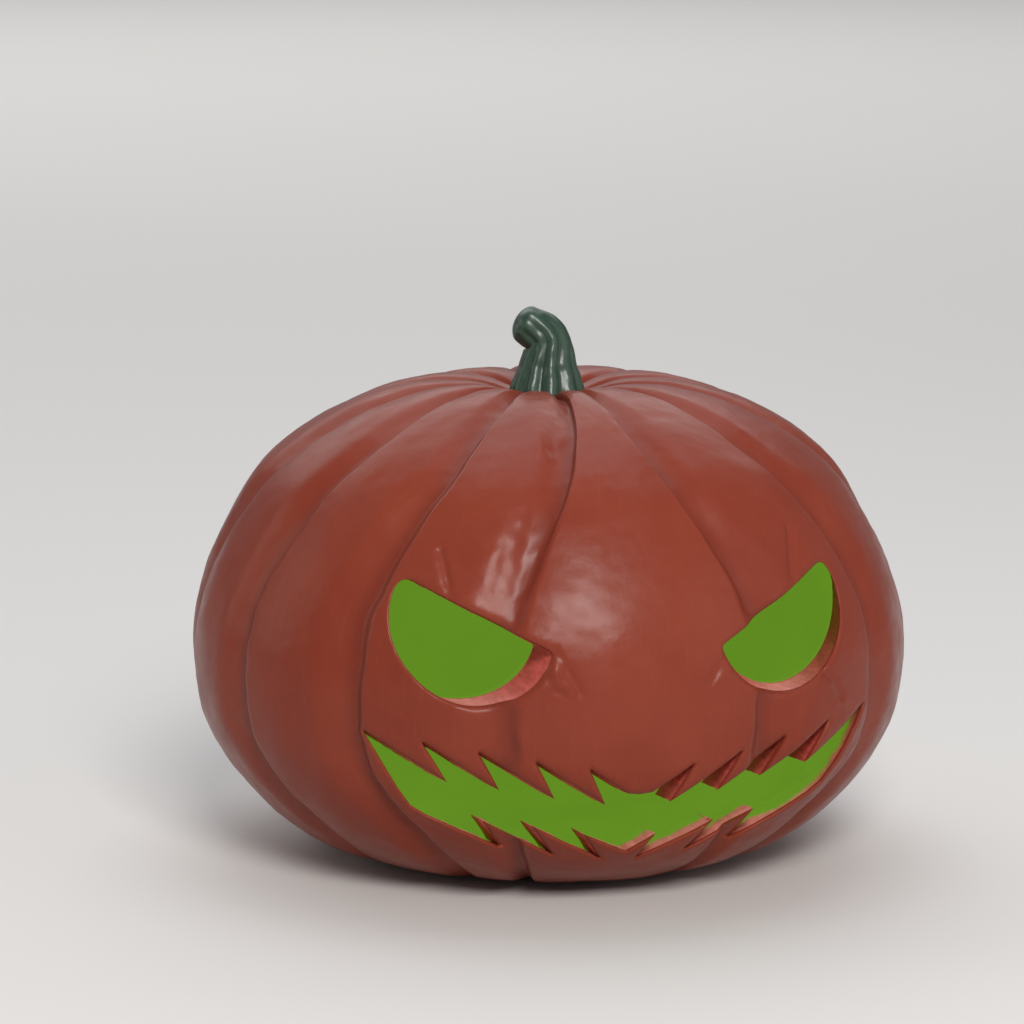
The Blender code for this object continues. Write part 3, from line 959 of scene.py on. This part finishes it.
def stem_material():
    material, tree, surface = new_material("stem")
    place = add(tree, "ShaderNodeTexCoord").outputs["Object"]
    ridge = attribute(tree, "ridge")
    fibres = noise(tree, scaled(tree, place, (1.0, 1.0, 0.15)), 700.0, 3.0)
    mottle = ramp(tree, noise(tree, place, 120.0, 3.0), 0.3, 0.7, 0.7, 1.2)
    # Grooves between the flutes are darker than the ridges: painted shade, varied by a mottle.
    share = maths(tree, "MULTIPLY", ramp(tree, ridge, 0.0, 1.0, 0.35, 0.80), mottle)
    colour = mixed(tree, share, STEM_GROOVE_SHADE, STEM_LIGHT)
    tree.links.new(colour, surface.inputs["Base Color"])
    wear = noise(tree, place, 400.0, 2.0)
    tree.links.new(ramp(tree, wear, 0.3, 0.7, 0.30, 0.42), surface.inputs["Roughness"])
    surface.inputs["Specular IOR Level"].default_value = 0.4
    surface.inputs["Coat Weight"].default_value = 0.1
    surface.inputs["Coat Roughness"].default_value = 0.12
    bumped(tree, surface, ((fibres, 0.18, 0.0002), (noise(tree, place, 250.0, 2.0), 0.25, 0.0004)))
    return material


def floor_material():
    material, tree, surface = new_material("floor")
    place = add(tree, "ShaderNodeTexCoord").outputs["Object"]
    veil = ramp(tree, noise(tree, place, 3.0, 4.0), 0.3, 0.7)
    colour = mixed(tree, veil, (0.64, 0.63, 0.61), (0.68, 0.67, 0.65))
    tree.links.new(colour, surface.inputs["Base Color"])
    surface.inputs["Roughness"].default_value = 0.8
    bumped(tree, surface, ((noise(tree, place, 400.0, 3.0), 0.1, 0.0003),))
    return material


CAMERA_PLACE = (-0.4431, -1.7134, 0.4262)
CAMERA_PITCH = math.radians(90.0 - 9.1155)
CAMERA_HEADING = math.radians(-14.015)
CAMERA_LENS = 150.2

# Softboxes: (name, place, aimed at, width, height, power in W, colour)
LIGHTS = (
    ("key", (-0.2, -2.3, 1.57), (0.0, 0.0, 0.12), 0.9, 0.9, 62.0, (1.0, 0.97, 0.94)),
    ("fill", (2.0, -1.6, 0.9), (0.0, 0.0, 0.10), 1.6, 1.6, 8.0, (1.0, 0.96, 0.93)),
    ("top", (0.2, 0.5, 2.4), (0.0, 0.0, 0.12), 1.6, 1.2, 12.0, (0.90, 0.92, 1.0)),
    ("edge", (-2.2, 0.9, 0.8), (0.0, 0.0, 0.10), 1.0, 1.2, 5.0, (1.0, 0.92, 0.84)),
    ("wash", (0.0, 6.5, 4.0), (0.0, 6.5, 0.0), 9.0, 9.0, 330.0, (1.0, 0.99, 0.98)),
)


def build_studio():
    bpy.ops.mesh.primitive_plane_add(size=1.0)
    floor = bpy.context.object
    floor.name = "floor"
    floor.scale = (14.0, 26.0, 1.0)
    floor.location = (0.0, 8.0, 0.0)
    floor.data.materials.append(floor_material())
    for name, place, aim, width, height, power, colour in LIGHTS:
        light = bpy.data.lights.new(name, "AREA")
        light.shape = "RECTANGLE"
        light.size = width
        light.size_y = height
        light.energy = power
        light.color = colour
        lamp = bpy.data.objects.new(name, light)
        lamp.location = place
        lamp.rotation_euler = (Vector(aim) - Vector(place)).to_track_quat("-Z", "Y").to_euler()
        bpy.context.scene.collection.objects.link(lamp)
    world = bpy.data.worlds.new("studio")
    world.use_nodes = True
    world.node_tree.nodes["Background"].inputs["Color"].default_value = (0.80, 0.82, 0.86, 1.0)
    world.node_tree.nodes["Background"].inputs["Strength"].default_value = 0.30
    bpy.context.scene.world = world
    lens = bpy.data.cameras.new("camera")
    lens.lens = CAMERA_LENS
    lens.sensor_width = 36.0
    lens.clip_start = 0.05
    camera = bpy.data.objects.new("camera", lens)
    camera.location = CAMERA_PLACE
    camera.rotation_euler = (CAMERA_PITCH, 0.0, CAMERA_HEADING)
    bpy.context.scene.collection.objects.link(camera)
    bpy.context.scene.camera = camera
    bpy.context.scene.view_settings.view_transform = "Standard"


EYE = eye_outline()
CUTS = (EYE, [(-across, height) for across, height in reversed(EYE)], mouth_outline())

rind = build_rind([rind_material(), flesh_material()])
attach(rind, "root")
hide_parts("pumpkin_shell")

lining = build_lining([lining_material()])
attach(lining, "root")
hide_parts("green_lining")

stalk = build_stem([stem_material()])
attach(stalk, "root")
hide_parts("stem")

build_studio()
